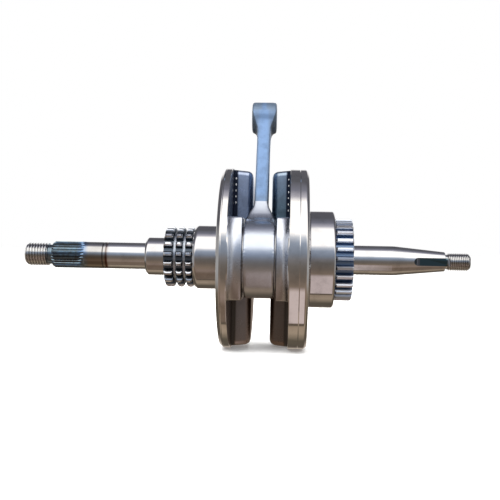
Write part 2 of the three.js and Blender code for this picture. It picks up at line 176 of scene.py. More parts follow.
lit = glow.mix(ramp, tuple(c / SKY_SCALE for c in BENCH_GLOW))
sides = ray_x.math("ABSOLUTE").rise(0.90, 0.99)
mirrored = sides.mix(lit, tuple(c / SKY_SCALE for c in END_GREY))
is_glossy = Value(tree, tree.nodes.new("ShaderNodeLightPath").outputs["Is Glossy Ray"])
seen = is_glossy.mix((1 / SKY_SCALE,) * 3, mirrored)
tree.links.new(seen.socket, background.inputs["Color"])
background.inputs["Strength"].default_value = SKY_SCALE


def soft_lamp(name, place, size, power):
    lamp = bpy.data.objects.new(name, bpy.data.lights.new(name, "AREA"))
    bpy.context.collection.objects.link(lamp)
    lamp.data.size = size
    lamp.data.energy = power
    lamp.location = place
    lamp.rotation_euler = (-Vector(place)).to_track_quat("-Z", "Y").to_euler()
    lamp.visible_glossy = False


soft_lamp("front_lamp", (-0.4, -1.3, 1.5), 1.4, 70)
soft_lamp("back_lamp", (0.6, 1.3, 1.4), 1.4, 40)

FLOOR_REACH = 40.0
FLOOR_GAP = 0.4 * MM
floor_mesh = bpy.data.meshes.new("floor")
floor_corners = [(x * FLOOR_REACH, y * FLOOR_REACH, cad_box[0].z - FLOOR_GAP)
                 for x, y in ((-1, -1), (1, -1), (1, 1), (-1, 1))]
floor_mesh.from_pydata(floor_corners, [], [(0, 1, 2, 3)])
floor = bpy.data.objects.new("floor", floor_mesh)
bpy.context.collection.objects.link(floor)
floor.visible_glossy = False
paint = bpy.data.materials.new("pale_floor")
paint.use_nodes = True
for socket, value in (("Base Color", (0.93, 0.93, 0.92, 1)), ("Roughness", 0.8),
                      ("Emission Color", (1, 1, 1, 1)), ("Emission Strength", 0.12)):
    paint.node_tree.nodes["Principled BSDF"].inputs[socket].default_value = value
floor.data.materials.append(paint)

# ---------------------------------------------------------------------------
# The left crank half is one forging: a full-circle web with a counterweight and a crankpin boss, and a long
# shaft turned and ground to the seats of the bearing, sprocket and collar, then splined and threaded M16 x 2.
# Its end was heated by the hardening of the spline, so the steel is blued there and brown by the grooves; a
# painted highlight and a painted reflection lie over these tints.


def softened(corners, steps=3):
    """Points of an outline in mm. A corner given with a third number is rounded by about that much."""
    points = []
    for i, corner in enumerate(corners):
        here = Vector(corner[:2])
        if len(corner) < 3:
            points.append(tuple(here))
            continue
        before = Vector(corners[i - 1][:2]) - here
        after = Vector(corners[(i + 1) % len(corners)][:2]) - here
        start = here + before.normalized() * min(corner[2], before.length * 0.45)
        end = here + after.normalized() * min(corner[2], after.length * 0.45)
        for k in range(steps + 1):
            t = k / steps
            points.append(tuple(start * (1 - t) ** 2 + here * 2 * t * (1 - t) + end * t * t))
    return points


def new_object(name, mesh):
    made = bpy.data.objects.new(name, mesh)
    bpy.context.collection.objects.link(made)
    return made


def written(bm, made):
    """Writes a bmesh into an object, with its faces turned outwards."""
    bmesh.ops.recalc_face_normals(bm, faces=bm.faces)
    bm.to_mesh(made.data)
    bm.free()
    return made


def from_bmesh(name, bm):
    return written(bm, new_object(name, bpy.data.meshes.new(name)))


def faces_out(made):
    bm = bmesh.new()
    bm.from_mesh(made.data)
    return written(bm, made)


def moved(made, x=0.0, y=0.0, z=0.0):
    """Shifts an object's mesh by mm. The object itself stays at the origin."""
    made.data.transform(Matrix.Translation((x * MM, y * MM, z * MM)))
    return made


def reordered(made, order):
    """Swaps a mesh's axes: its new X, Y and Z are its old axes of these numbers."""
    rows = [[1.0 if column == source else 0.0 for column in range(4)] for source in (*order, 3)]
    made.data.transform(Matrix(rows))
    return made


SUPPORT = 0.12
LONG_STRETCH = 12 * SUPPORT


def supported(stations, ring):
    """Adds a point just inside each end of a long straight stretch, so that its shading stays straight."""
    kept = []
    ends = stations[1:] + (stations[:1] if ring else [])
    for one, other in zip(stations, ends):
        kept.append(one)
        if callable(one[1]) or callable(other[1]):
            continue
        start, step = Vector(one), Vector(other) - Vector(one)
        if step.length > LONG_STRETCH:
            inset = step.normalized() * SUPPORT
            kept += [tuple(start + inset), tuple(start + step - inset)]
    return kept if ring else [*kept, stations[-1]]


def revolved(name, stations, columns=180, ring=False):
    """Turns (x, radius) stations in mm about the X axis. A radius may be a function of the angles, which run
    from the front upwards. A ring's stations go round its section and close on themselves."""
    angles = np.arange(columns) * 2 * math.pi / columns
    stations = supported(stations, ring)
    bm = bmesh.new()
    rings = []
    for x, radius in stations:
        radii = radius(angles) if callable(radius) else np.full(columns, float(radius))
        if radii.max() < 1e-6:
            rings.append([bm.verts.new((x * MM, 0, 0))])
            continue
        rings.append([bm.verts.new((x * MM, -r * math.cos(a) * MM, r * math.sin(a) * MM))
                      for r, a in zip(radii, angles)])
    pairs = list(zip(rings, rings[1:]))
    if ring:
        pairs.append((rings[-1], rings[0]))
    for one, other in pairs:
        for i in range(columns):
            j = (i + 1) % columns
            if len(one) == 1:
                bm.faces.new((one[0], other[j], other[i]))
            elif len(other) == 1:
                bm.faces.new((one[i], one[j], other[0]))
            else:
                bm.faces.new((one[i], one[j], other[j], other[i]))
    return from_bmesh(name, bm)


def lofted(name, sections):
    """A closed solid through outlines of (y, z) points in mm, each given as (x, outline)."""
    bm = bmesh.new()
    loops = [[bm.verts.new((x * MM, y * MM, z * MM)) for y, z in outline] for x, outline in sections]
    for one, other in zip(loops, loops[1:]):
        for i in range(len(one)):
            j = (i + 1) % len(one)
            bm.faces.new((one[i], one[j], other[j], other[i]))
    bm.faces.new(loops[0])
    bm.faces.new(loops[-1])
    return from_bmesh(name, bm)


def baked(made):
    """Turns an object's modifiers into its mesh."""
    bpy.context.view_layer.update()
    evaluated = made.evaluated_get(bpy.context.evaluated_depsgraph_get())
    mesh = bpy.data.meshes.new_from_object(evaluated)
    made.modifiers.clear()
    made.data = mesh
    return made


def bevelled(made, width, segments=3, angle=35):
    edge = made.modifiers.new("edge", "BEVEL")
    edge.width = width * MM
    edge.segments = segments
    edge.limit_method = "ANGLE"
    edge.angle_limit = math.radians(angle)
    return baked(made)


def combined(made, other, operation):
    """Joins or cuts with a solid, which is used up."""
    step = made.modifiers.new("step", "BOOLEAN")
    step.operation = operation
    step.solver = "MANIFOLD"
    step.object = other
    baked(made)
    bpy.data.objects.remove(other)
    return made


def smooth(made, angle=28):
    made.data.polygons.foreach_set("use_smooth", [True] * len(made.data.polygons))
    made.data.set_sharp_from_angle(angle=math.radians(angle))
    return made


def thread(start, end, pitch, major, chamfer):
    """Stations of a right-hand V thread, with a chamfer at the free end and a run-out at the other."""
    depth = 0.6 * pitch
    stations_per_turn = 12

    def station(x):
        limit = major - max(0.0, chamfer - abs(x - start)) - 2.2 * max(0.0, 0.5 - abs(x - end))

        def radius(angles):
            turn_share = (x / pitch + angles / (2 * math.pi)) % 1
            wave = np.abs(turn_share - 0.5) * 2
            return np.minimum(major - depth * np.clip(1.7 * wave - 0.42, 0, 1), limit)
        return (x, radius)
    count = int(abs(end - start) / pitch * stations_per_turn)
    return [station(start + (end - start) * i / count) for i in range(count + 1)]


def centre_hole(face, inwards):
    """Stations from the bottom of the centre drilling out to its mouth, as turning centres leave."""
    return [(face + inwards * 6.2, 0), (face + inwards * 5.5, 1.1), (face + inwards * 2.6, 1.1),
            (face + inwards * 0.25, 2.5), (face, 2.75)]


LEFT_END = -167.8
LEFT_THREAD_R, LEFT_THREAD_END = 8.0, -151.3
UNDERCUT_R = 6.9
SPLINE_TEETH = 26
SPLINE_ENDS = (-148.2, -125.0)
SPLINE_START_R, SPLINE_TIP, SPLINE_DEPTH = 8.45, 9.4, 0.9
LEFT_SHAFT_R = 9.35
GROOVES = (-111.7, -109.1)
COLLAR_START, SPROCKET_START, RING_START = -81.3, -67.2, -47
WEB_R = 63
LEFT_WEB = {"side": -1, "inner": 20.35, "outer": 27.3, "chamfer": 2.4}
RIGHT_WEB = {"side": 1, "inner": 19.5, "outer": 32.2, "chamfer": 1.8}
THROW = 34
WEIGHT = {"inner": 6.7, "front": 0.5, "tip_r": 61.5, "foot_r": 62.8, "round": 4.0, "relief": 2.2}
BOSS = {"inner": 11, "half_height": 27, "front_r": 53, "front_shift": 4, "tip_grow": 0.6, "foot_grow": 6.9}
PIN_HOLE_R = 15.08


def spline_station(x):
    start, end = SPLINE_ENDS
    fade = min(1.0, max(0.0, (end - x) / 4.5)) ** 0.5
    lead = min(1.0, max(0.0, (x - start) / 0.9))

    def radius(angles):
        gap = np.clip(0.5 - 1.5 * np.cos(SPLINE_TEETH * angles), 0, 1)
        return SPLINE_START_R + (SPLINE_TIP - SPLINE_START_R) * lead - SPLINE_DEPTH * fade * gap * lead
    return (x, radius)


def rim(web):
    """The web's edge from its outer face to its inner face, with a fine scribed line round the middle."""
    side, inner, outer, chamfer = web["side"], web["inner"], web["outer"], web["chamfer"]
    line_depth, line_half = 0.18, 0.28
    line = (inner + outer) / 2 + 0.4
    corners = [(outer, WEB_R - chamfer, 0.5), (outer - chamfer, WEB_R, 0.6), (line + line_half, WEB_R),
               (line, WEB_R - line_depth), (line - line_half, WEB_R), (inner, WEB_R, 0.4)]
    return [(c[0] * side, *c[1:]) for c in corners]


def half_disc(radius):
    """The counterweight's outline: the far half of a circle, flat in front. The arc's first and last steps
    are long enough for the edge rounding."""
    widest = math.acos(WEIGHT["front"] / radius)
    long_step = 0.09
    steps = 86
    arc = [-widest, *((widest - long_step) * (2 * i / steps - 1) for i in range(steps + 1)), widest]
    return [(radius * math.cos(a), radius * math.sin(a)) for a in arc]


def boss_outline(grow):
    """The crankpin boss: parallel top and bottom, and a rounded front, trimmed by the turning of the rim."""
    half_height, back, trimmed_r = BOSS["half_height"], 2, WEB_R - 0.02
    steps = 40
    front = []
    for i in range(steps + 1):
        z = half_height * (1 - 2 * i / steps)
        forged = BOSS["front_shift"] + grow + math.sqrt(BOSS["front_r"] ** 2 - z * z)
        front.append((-min(forged, math.sqrt(trimmed_r ** 2 - z * z)), z))
    return [(back, half_height), *front, (back, -half_height)]


def slab(name, low, high):
    y0, z0, y1, z1 = low[1], low[2], high[1], high[2]
    return lofted(name, [(x, [(y0, z0), (y1, z0), (y1, z1), (y0, z1)]) for x in (low[0], high[0])])


def add_inner_steps(half, web):
    """Joins the counterweight and the crankpin boss to a web, and bores it for the crankpin."""
    side, inner = web["side"], web["inner"]
    sections = ((WEIGHT["inner"], "tip_r"), (inner, "foot_r"), (inner + 5, "foot_r"))
    weight = lofted("weight", [(side * x, half_disc(WEIGHT[radius])) for x, radius in sections])
    bevelled(weight, WEIGHT["round"], 7)
    for end in (1, -1):
        low, high = sorted((side * (inner - WEIGHT["relief"]), side * (inner + 0.01)))
        bottom, top = sorted((BOSS["half_height"] * end, 70 * end))
        combined(weight, slab("relief", (low, -2, bottom), (high, 2.4, top)), "DIFFERENCE")
    steps = 10
    sections = []
    for share in (i / steps for i in range(steps + 1)):
        grow = BOSS["tip_grow"] + (BOSS["foot_grow"] - BOSS["tip_grow"]) * share ** 2.2
        sections.append((BOSS["inner"] + (inner - BOSS["inner"]) * share, grow))
    sections.append((inner + 3, BOSS["foot_grow"]))
    boss = lofted("boss", [(side * x, boss_outline(grow)) for x, grow in sections])
    bevelled(boss, 0.8, 3, 50)
    combined(half, weight, "UNION")
    combined(half, boss, "UNION")
    hole = revolved("hole", [(-60, 0), (-60, PIN_HOLE_R), (60, PIN_HOLE_R), (60, 0)], 128)
    return combined(half, moved(hole, y=-THROW), "DIFFERENCE")


def finish(made, *steels):
    made.data.materials.clear()
    for steel in steels:
        made.data.materials.append(steel.material)


class Steel:
    """A steel finish: its shader tree, with the piece's own coordinates in mm ready to use."""

    def __init__(self, name, colour, roughness):
        self.material = bpy.data.materials.new(name)
        self.material.use_nodes = True
        self.tree = self.material.node_tree
        self.shader = self.tree.nodes["Principled BSDF"]
        self.shader.inputs["Metallic"].default_value = 1.0
        self.shader.inputs["Base Color"].default_value = (*colour, 1)
        self.shader.inputs["Roughness"].default_value = roughness
        place = Value(self.tree, self.tree.nodes.new("ShaderNodeTexCoord").outputs["Object"])
        scaled = place.node("ShaderNodeVectorMath", {"operation": "SCALE"}, {0: place, "Scale": 1 / MM})
        parts = scaled.node("ShaderNodeSeparateXYZ", None, {0: scaled})
        self.place = scaled
        self.x, self.y, self.z = (Value(self.tree, parts.socket.node.outputs[k]) for k in range(3))
        self.radius = (self.y * self.y + self.z * self.z).math("SQRT")

    def at(self, x, y, z):
        return self.x.node("ShaderNodeCombineXYZ", None, {0: x, 1: y, 2: z})

    def noise(self, at, scale, detail=3.0, roughness=0.5):
        """Noise about 0.5, at a scale in waves per mm."""
        inputs = {"Vector": at, "Scale": scale, "Detail": detail, "Roughness": roughness}
        return self.x.node("ShaderNodeTexNoise", None, inputs)

    def turning_marks(self, per_mm=5.0):
        """Fine rings left by turning or grinding about the X axis."""
        return self.noise(self.at(self.x * per_mm, self.radius * per_mm, self.y * 0.02), 1.0, 4.0, 0.7)

    def bump(self, height, strength, distance=0.1):
        inputs = {"Height": height, "Strength": strength, "Distance": distance * MM}
        self.link(self.x.node("ShaderNodeBump", None, inputs), "Normal")

    def link(self, value, socket):
        self.tree.links.new(value.socket, self.shader.inputs[socket])


def ground_steel(name, colour=(0.66, 0.65, 0.64), roughness=0.07, marks=0.12):
    """Bright turned or ground steel: rings of fine scratches, faint smudges, and a little wear."""
    steel = Steel(name, colour, roughness)
    rings = steel.turning_marks()
    smudge = steel.noise(steel.place, 0.09, 4.0, 0.6)
    steel.link(roughness + (rings - 0.5) * 0.06 + smudge.rise(0.45, 0.75) * 0.06, "Roughness")
    darker = tuple(c * 0.8 for c in colour)
    steel.link(smudge.rise(0.4, 0.8).mix(colour, darker), "Base Color")
    steel.bump(rings, marks, 0.02)
    return steel


def colour_of(steel):
    """The colour that already feeds a finish, to lay another over it."""
    return Value(steel.tree, steel.shader.inputs["Base Color"].links[0].from_socket)


def oil_and_shade_in_thread(steel, colour, start, major, amount):
    """Darkens the valleys of a thread that runs outwards from an X: old oil, and painted shade in the
    valleys.
    """
    out = math.copysign(0.2, start)
    beyond = steel.x.rise(start - out, start + out)
    valley = steel.radius.rise(major - 0.25, major - 0.8) * beyond
    valley = valley * steel.radius.rise(major * 0.5, major * 0.6)
    return (valley * amount).mix(colour, (0.10, 0.10, 0.08))


def forged_steel(name, colour, roughness, grain=1.0, contrast=0.25):
    """Forged, shot-blasted steel: a fine pebbled skin with darker scale in places."""
    steel = Steel(name, colour, roughness)
    skin = steel.noise(steel.place, 2.6 * grain, 4.0, 0.65)
    scale = steel.noise(steel.place, 0.16, 5.0, 0.6)
    dark = tuple(c * (1 - contrast) for c in colour)
    steel.link(scale.rise(0.38, 0.7).mix(colour, dark), "Base Color")
    steel.link(roughness + (skin - 0.5) * 0.25 + (scale - 0.5) * 0.15, "Roughness")
    steel.bump(skin * 0.7 + scale * 0.3, 0.35, 0.12)
    return steel


def left_shaft_steel():
    """Ground steel, blued on the spline and undercut, straw and brown towards the two grooves and darker in
    them.
    The straw and brown are stronger on the lower side, a painted reflection of the brown bench. The spline's
    right end is paler blue on its upper side, a painted highlight, and its valleys are darkened with painted
    shade and old oil.
    """
    steel = ground_steel("left_shaft_steel")
    cloud = steel.noise(steel.place, 0.16, 4.0, 0.6)
    along = steel.x + (cloud - 0.5) * 5.0
    blued = along.rise(-153.0, -151.0) * along.rise(-121.0, -126.5)
    straw = along.rise(-128.0, -124.0) * along.rise(-105.5, -111.0)
    # The lower side: the tints below grow stronger there, a painted reflection of the brown bench.
    low = steel.z.rise(3.5, -3.0)
    rings = 1.0 - (steel.x - GROOVES[1]).math("ABSOLUTE").rise(0.4, 1.3)
    edge_rings = 1.0 - (steel.x - GROOVES[0]).math("ABSOLUTE").rise(0.2, 0.7)
    tint = (straw * (0.30 + low * 0.55)).mix(colour_of(steel), (0.20, 0.155, 0.10))
    tint = (rings * (0.5 + low * 0.45)).mix(tint, (0.13, 0.05, 0.02))
    tint = (edge_rings * 0.8).mix(tint, (0.12, 0.11, 0.10))
    painted_highlight_reach = steel.x.rise(-131.0, -126.5)
    dull = steel.noise(steel.place, 0.35, 4.0, 0.7).rise(0.35, 0.65)
    teal = dull.mix((0.18, 0.28, 0.36), (0.12, 0.15, 0.16))
    # Painted highlight: the blue is paler on the upper side of the spline's right end.
    blue = (painted_highlight_reach * steel.z.rise(-4.0, 3.0)).mix(teal, (0.16, 0.28, 0.46))
    # Painted shade with old oil: the spline's valleys darkened nearly to black.
    gap = steel.radius.rise(9.1, 8.7) * steel.x.rise(-123.0, -125.5) * steel.x.rise(-149.0, -147.0)
    blue = (gap * 0.6).mix(blue, (0.035, 0.05, 0.06))
    tint = (blued * 0.92).mix(tint, blue)
    steel.link(oil_and_shade_in_thread(steel, tint, LEFT_THREAD_END + 0.1, LEFT_THREAD_R, 0.2), "Base Color")
    return steel


def web_finishes(side_name, slate, bench_reflection_brown, step_at):
    """Rim and outer face bright, counterweight dark slate and boss silver, with painted light laid on: the
    counterweight and boss brown towards the bottom as painted shade and reflection of the bench, the
    counterweight paler at its top as a painted highlight, and the relief step nearly black as painted shade.
    """
    rim_steel = ground_steel(side_name + "_rim_steel", (0.70, 0.67, 0.64), 0.05, 0.12)
    face = ground_steel(side_name + "_face_steel", (0.60, 0.60, 0.61), 0.16, 0.3)
    weight = forged_steel(side_name + "_weight_steel", slate, 0.30, 0.8, 0.35)
    # Painted shade and reflection of the brown bench: the counterweight browner towards the bottom.
    lower = weight.z.rise(4.0, -18.0)
    painted_light_tint = lower.mix(colour_of(weight), bench_reflection_brown)
    # Painted highlight: the counterweight paler towards its top.
    painted_light_tint = (weight.z.rise(25.0, 62.0) * 0.45).mix(painted_light_tint, (0.60, 0.66, 0.80))
    # Painted shade: the relief step nearly black above and dark brown below.
    step = weight.x.math("ABSOLUTE").rise(step_at - 3.4, step_at - 2.3) * weight.y.rise(6.0, 2.5)
    shadow = lower.mix((0.02, 0.025, 0.05), (0.15, 0.12, 0.09))
    weight.link((step * 0.93).mix(painted_light_tint, shadow), "Base Color")
    boss = forged_steel(side_name + "_boss_steel", (0.68, 0.70, 0.75), 0.24, 1.0, 0.12)
    # Painted reflection of the bench: the boss browner towards the bottom.
    boss.link((boss.z.rise(0.0, -22.0) * 0.6).mix(colour_of(boss), (0.42, 0.36, 0.32)), "Base Color")
    return rim_steel, face, weight, boss


def paint_web(half, web, finishes, shaft):
    """Gives each face the finish of its part of the forging, by where it lies."""
    side, inner, outer = web["side"], web["inner"], web["outer"]
    finish(half, shaft, *finishes)
    polygons = half.data.polygons
    count = len(polygons)
    centre = np.empty(count * 3)
    normal = np.empty(count * 3)
    polygons.foreach_get("center", centre)
    polygons.foreach_get("normal", normal)
    x, y, z = (centre.reshape(-1, 3) / MM).T
    along, radius = x * side, np.hypot(y, z)
    flat = np.abs(normal.reshape(-1, 3)[:, 0]) > 0.95
    shaft_slot, rim_slot, face_slot, weight_slot, boss_slot = range(5)
    slot = np.full(count, shaft_slot, dtype=np.int32)
    slot[(along < outer + 0.05) & (radius > WEB_R - 4)] = rim_slot
    slot[(along < outer + 0.05) & flat & (radius <= WEB_R - 0.5)] = face_slot
    slot[(along < inner - 0.02) | (flat & (along < inner + 0.02))] = weight_slot
    slot[(along < inner - 0.02) & (y < 0.45) & (np.abs(z) < BOSS["half_height"] + 0.2)] = boss_slot
    slot[(slot == boss_slot) & (radius > WEB_R - 0.35) & (along > inner - 3)] = rim_slot
    polygons.foreach_set("material_index", slot)


def dress(made, body, slot, *nodes):
    """Smooths a finished piece, and lets it ride in place of its plain CAD nodes."""
    smooth(made)
    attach(made, body)
    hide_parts(*nodes)


web_left = [
    *centre_hole(LEFT_END, 1),
    *softened([(LEFT_END, 4), (LEFT_END, 6.3, 0.5), (LEFT_END + 0.7, 7.0)])[1:],
    *thread(LEFT_END + 0.9, LEFT_THREAD_END, 2.0, LEFT_THREAD_R, 1.0),
    (LEFT_THREAD_END + 0.4, UNDERCUT_R), (SPLINE_ENDS[0] - 0.2, UNDERCUT_R), (SPLINE_ENDS[0], 7.5),
    *[spline_station(SPLINE_ENDS[0] + (SPLINE_ENDS[1] - SPLINE_ENDS[0]) * i / 16) for i in range(17)],
    (SPLINE_ENDS[1] + 0.2, LEFT_SHAFT_R),
]
for groove in GROOVES:
    floor_r = LEFT_SHAFT_R - 0.5
    web_left += softened([
        (groove - 0.5, LEFT_SHAFT_R), (groove - 0.4, LEFT_SHAFT_R, 0.1), (groove - 0.3, floor_r, 0.1),
        (groove + 0.3, floor_r, 0.1), (groove + 0.4, LEFT_SHAFT_R, 0.1), (groove + 0.5, LEFT_SHAFT_R)])
web_left += softened([
    (COLLAR_START - 0.2, LEFT_SHAFT_R), (COLLAR_START, LEFT_SHAFT_R), (COLLAR_START, 10.25),
    (SPROCKET_START, 10.25), (SPROCKET_START, 12), (RING_START, 12), (RING_START, 17.45),
    (-LEFT_WEB["outer"] - 0.2, 17.45), (-LEFT_WEB["outer"], 17.8), (-LEFT_WEB["outer"], 21),
    (-LEFT_WEB["outer"], 40), *rim(LEFT_WEB), (-LEFT_WEB["inner"], 60), (-LEFT_WEB["inner"], 0)])
left_half = revolved("left_crank_half_steel", web_left, SPLINE_TEETH * 8)
add_inner_steps(left_half, LEFT_WEB)
left_finishes = web_finishes("left", (0.42, 0.49, 0.64), (0.40, 0.34, 0.31), LEFT_WEB["inner"])
paint_web(left_half, LEFT_WEB, left_finishes, left_shaft_steel())
dress(left_half, "crankshaft", "forged_steel", "left_crank_half")

# ---------------------------------------------------------------------------
# The right crank half is its partner, with a thicker web. Its shaft carries the ball bearing and the gear,
# then runs down a 1 in 5 taper with a milled keyway to an M12 x 1.25 thread.
GEAR_SEAT = {"start": 50.7, "end": 63, "r": 12}
RIGHT_SHAFT_R = 10.3
TAPER_START = 92.6
KEYWAY = {"start": 105.8, "end": 131.0, "half_width": 2.75, "floor": 4.8, "ramp": 4.5, "drop": 0.3}
RIGHT_THREAD_R, RIGHT_THREAD_START, RIGHT_END = 6.0, 129.6, 145.3
web_right = softened([
    (RIGHT_WEB["inner"], 0), (RIGHT_WEB["inner"], 60), *reversed(rim(RIGHT_WEB)),
    (RIGHT_WEB["outer"], 40), (RIGHT_WEB["outer"], 21), (RIGHT_WEB["outer"], 14.3),
    (RIGHT_WEB["outer"] + 0.2, 13.95), (GEAR_SEAT["start"], 13.95), (GEAR_SEAT["start"], GEAR_SEAT["r"]),
    (GEAR_SEAT["end"] - 0.4, GEAR_SEAT["r"], 0.3), (GEAR_SEAT["end"], 11.6), (GEAR_SEAT["end"], 10.6),
    (GEAR_SEAT["end"] + 0.3, RIGHT_SHAFT_R), (TAPER_START, RIGHT_SHAFT_R, 2.0), (127.8, 6.78, 0.4),
    (128.1, 5.0), (RIGHT_THREAD_START - 0.2, 5.0)])
web_right += reversed(thread(RIGHT_END - 0.6, RIGHT_THREAD_START, 1.25, RIGHT_THREAD_R, 0.9))
web_right += softened([(RIGHT_END - 0.3, 5.0), (RIGHT_END, 4.6, 0.3), (RIGHT_END, 3.4)])[1:]
web_right += reversed(centre_hole(RIGHT_END, -1))
right_half = revolved("right_crank_half_steel", web_right, 180)
add_inner_steps(right_half, RIGHT_WEB)


def keyway_cutter():
    """A round-ended slot with a flat floor that ramps up at its inner end, as a cutter leaves it."""
    start, end, half_width, floor_y = KEYWAY["start"], KEYWAY["end"], KEYWAY["half_width"], -KEYWAY["floor"]
    steps = 24
    arc = [math.pi / 2 + math.pi * i / steps for i in range(steps + 1)]
    plan = [(start + half_width * (1 + math.cos(a)), half_width * math.sin(a)) for a in arc]
    plan = [(end, half_width), *plan, (end, -half_width)]
    cutter = faces_out(reordered(lofted("keyway", [(y, plan) for y in (-10, 0)]), (1, 0, 2)))
    profile = [(start - 1, -11), (end + 1, -11), (end + 1, floor_y)]
    profile += [(start + KEYWAY["ramp"] * (1 - t), floor_y - 4.0 * t * t) for t in (0, 0.25, 0.5, 0.75, 1)]
    ramp_solid = faces_out(reordered(lofted("ramp", [(z, profile) for z in (-6, 6)]), (1, 2, 0)))
    combined(cutter, ramp_solid, "INTERSECT")
    return moved(cutter, z=-KEYWAY["drop"])


combined(right_half, keyway_cutter(), "DIFFERENCE")


def right_shaft_steel():
    """Ground steel, with the cut floor of the keyway painted darker."""
    steel = ground_steel("right_shaft_steel")
    inside = (steel.z + KEYWAY["drop"]).math("ABSOLUTE").rise(2.9, 2.7) * steel.y.rise(-3.0, -4.0)
    inside = inside * steel.x.rise(105.0, 106.0) * steel.x.rise(130.0, 129.0)
    off_skin = (RIGHT_SHAFT_R - (steel.x - TAPER_START) * 0.1 - steel.radius).rise(0.05, 0.25)
    floor_share = steel.x.rise(109.9, 110.4)
    cut = floor_share.mix((0.20, 0.21, 0.23), (0.075, 0.13, 0.15))
    tint = (inside * off_skin).mix(colour_of(steel), cut)
    steel.link(oil_and_shade_in_thread(steel, tint, RIGHT_THREAD_START - 0.1, RIGHT_THREAD_R, 0.35), "Base Color")
    return steel


right_finishes = web_finishes("right", (0.23, 0.33, 0.38), (0.25, 0.19, 0.15), RIGHT_WEB["inner"])
paint_web(right_half, RIGHT_WEB, right_finishes, right_shaft_steel())
dress(right_half, "crankshaft", "forged_steel", "right_crank_half")

# ---------------------------------------------------------------------------
# The crankpin is a hardened, ground tube pressed into both webs. It holds them together, and a small steel
# plug closes its oil hole at each end.


def ring_section(start, end, bore, outer, edge):
    """A ring's section with its outer edges rounded and its bore edges broken."""
    break_edge = min(0.3, edge)
    return softened([
        (start, bore + break_edge), (start, outer - edge, 0.05), (start + edge, outer, edge * 0.4),
        (end - edge, outer, edge * 0.4), (end, outer - edge, 0.05), (end, bore + break_edge),
        (end - break_edge, bore), (start + break_edge, bore)])


pin_steel = ground_steel("pin_steel", (0.62, 0.62, 0.64), 0.14)
pin = revolved("crank_pin_steel", ring_section(-27.0, 31.9, 6, 15, 0.5), 120, ring=True)
finish(moved(pin, y=-THROW), pin_steel)
dress(pin, "crankshaft", "bearing_steel", "crank_pin")
plug_steel = forged_steel("plug_steel", (0.42, 0.42, 0.43), 0.34, 1.4)
for side_name, face, inwards in (("left", -LEFT_WEB["outer"], 1), ("right", RIGHT_WEB["outer"], -1)):
    depths = ((5.7, 0), (5.7, 5.8, 0.3), (0.3, 5.8, 0.4), (0.3, 4.9, 0.3), (0.8, 4.4, 0.3), (0.9, 0))
    dish = softened([(face + inwards * depth, *rest) for depth, *rest in depths])
    plug = revolved("pin_plug_" + side_name, dish, 64)
    finish(moved(plug, y=-THROW), plug_steel)
    dress(plug, "crankshaft", "pressed_steel", "crank_pin_plug_" + side_name)

# ---------------------------------------------------------------------------
# The rod turns on sixteen rollers in a one-piece steel cage, and a thin hard washer on each side keeps it off
# the webs. The rollers are one shape, set round the pin.


class Tree:
    """A geometry node tree that ends in realized instances with one material."""

    def __init__(self, name, **sizes):
        self.group = bpy.data.node_groups.new(name, "GeometryNodeTree")
        self.group.interface.new_socket("Geometry", in_out="INPUT", socket_type="NodeSocketGeometry")
        self.group.interface.new_socket("Geometry", in_out="OUTPUT", socket_type="NodeSocketGeometry")
        self.sizes = sizes
        for label, value in sizes.items():
            kind = "NodeSocketInt" if isinstance(value, int) else "NodeSocketFloat"
            self.group.interface.new_socket(label, in_out="INPUT", socket_type=kind)
        self.inputs = self.group.nodes.new("NodeGroupInput").outputs

    def add(self, kind, settings=None, **inputs):
        made = self.group.nodes.new(kind)
        for name, value in (settings or {}).items():
            setattr(made, name, value)
        for key, value in inputs.items():
            target = made.inputs[int(key[1:])] if key[0] == "_" else made.inputs[key.replace("_", " ")]
            if isinstance(value, bpy.types.NodeSocket):
                self.group.links.new(value, target)
            else:
                target.default_value = value
        return made.outputs[0]

    def math(self, operation, one, other):
        return self.add("ShaderNodeMath", {"operation": operation}, _0=one, _1=other)

    def around(self, geometry, count, first_angle):
        """Copies a shape round the X axis, count times."""
        index = self.add("GeometryNodeInputIndex")
        points = self.add("GeometryNodePoints", Count=count)
        step = self.math("DIVIDE", 2 * math.pi, count)
        angle = self.math("ADD", self.math("MULTIPLY", index, step), first_angle)
        rotation = self.add("ShaderNodeCombineXYZ", X=angle)
        return self.add("GeometryNodeInstanceOnPoints", Points=points, Instance=geometry, Rotation=rotation)

    def end(self, shape, steel, merge=False):
        """Ends the tree with a shape's realized instances in one finish."""
        realized = self.add("GeometryNodeRealizeInstances", Geometry=shape)
        if merge:
            realized = self.add("GeometryNodeMergeByDistance", Geometry=realized, Distance=0.004 * MM)
        finished = self.add("GeometryNodeSetMaterial", Geometry=realized, Material=steel.material)
        self.group.links.new(finished, self.group.nodes.new("NodeGroupOutput").inputs[0])

    def run(self, made):
        """Runs the tree on an object and leaves it a plain mesh."""
        modifier = made.modifiers.new("nodes", "NODES")
        modifier.node_group = self.group
        for item in self.group.interface.items_tree:
            if item.in_out == "INPUT" and item.name in self.sizes:
                modifier[item.identifier] = self.sizes[item.name]
        return faces_out(baked(made))


def set_round(made, steel, count, first_angle=0.0, merge=False):
    """Repeats an object's own shape round the X axis."""
    tree = Tree(made.name + "_round", Count=count, First=float(first_angle))
    shape = tree.around(tree.inputs["Geometry"], tree.inputs["Count"], tree.inputs["First"])
    tree.end(shape, steel, merge)
    return tree.run(made)


